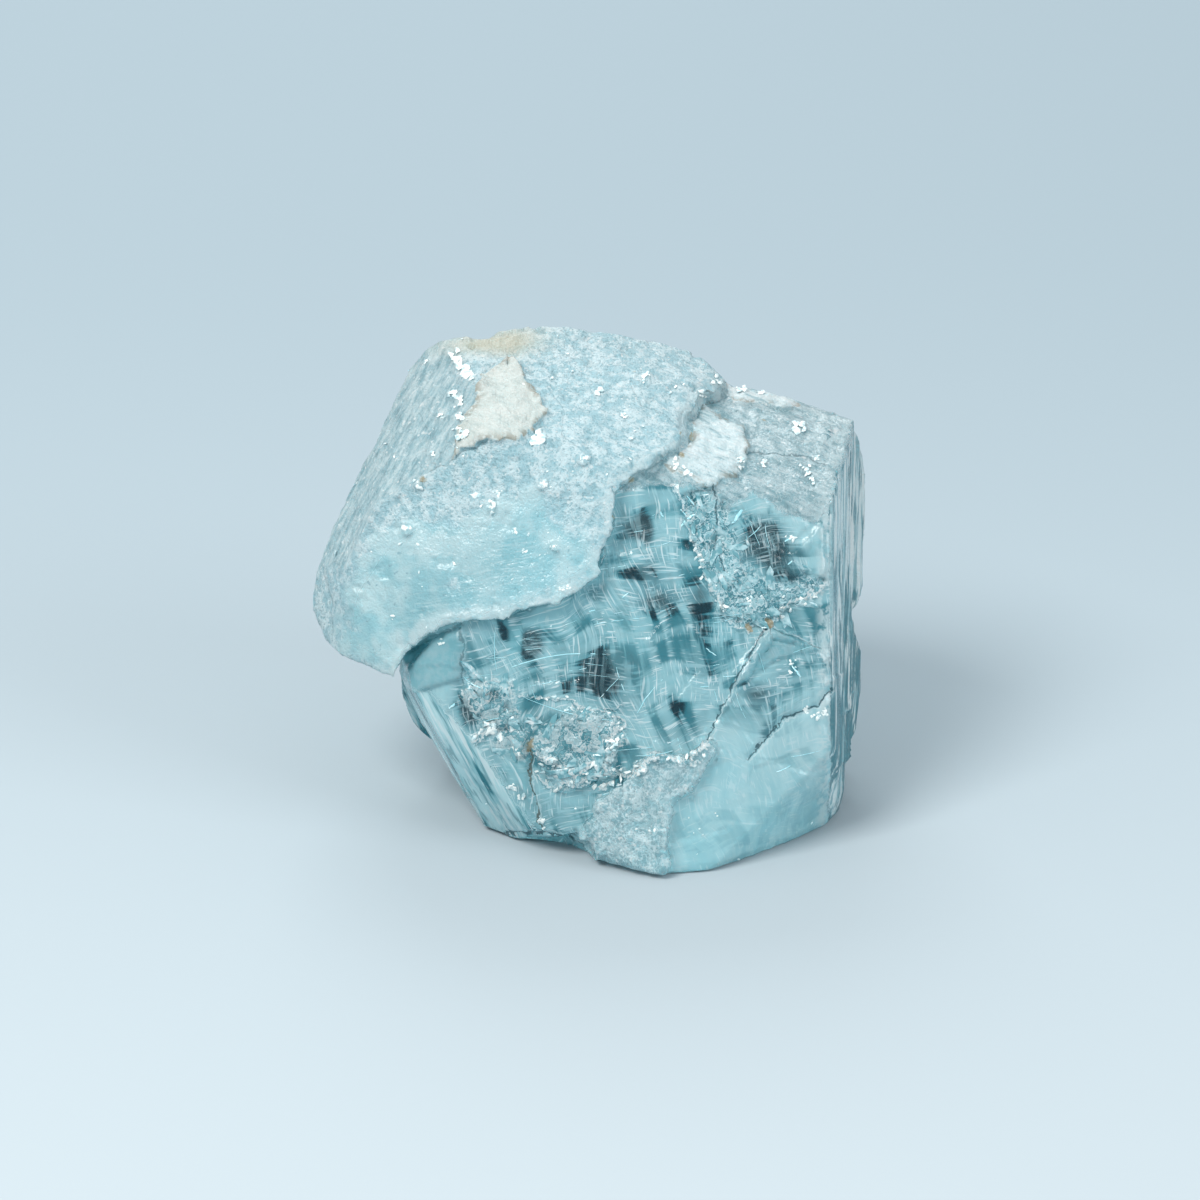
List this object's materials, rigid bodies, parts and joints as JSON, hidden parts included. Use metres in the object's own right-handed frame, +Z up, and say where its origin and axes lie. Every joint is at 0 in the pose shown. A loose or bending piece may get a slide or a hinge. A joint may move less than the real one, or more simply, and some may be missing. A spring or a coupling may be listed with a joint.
{
  "type": "aquamarine crystal",
  "caption": "Rough pale blue-green beryl crystal: a glassy broken block full of fine veils, half capped by a frosted etched mass, standing on a flat base.",
  "frame": {"origin": "bottom centre of the bounding box, on the flat base that the stone rests on", "axes": "+Z up; +X to the right along the longest extent, as the broken front is looked at; +Y away from the eye, the broken front facing -Y"},
  "size_m": [0.0282, 0.0246, 0.0218],
  "materials": {
    "beryl": "clear pale blue-green, glassy on fresh breaks and frosted where etched"
  },
  "bodies": {
    "root": {"aquamarine_crystal": "beryl"}
  },
  "joints": []
}
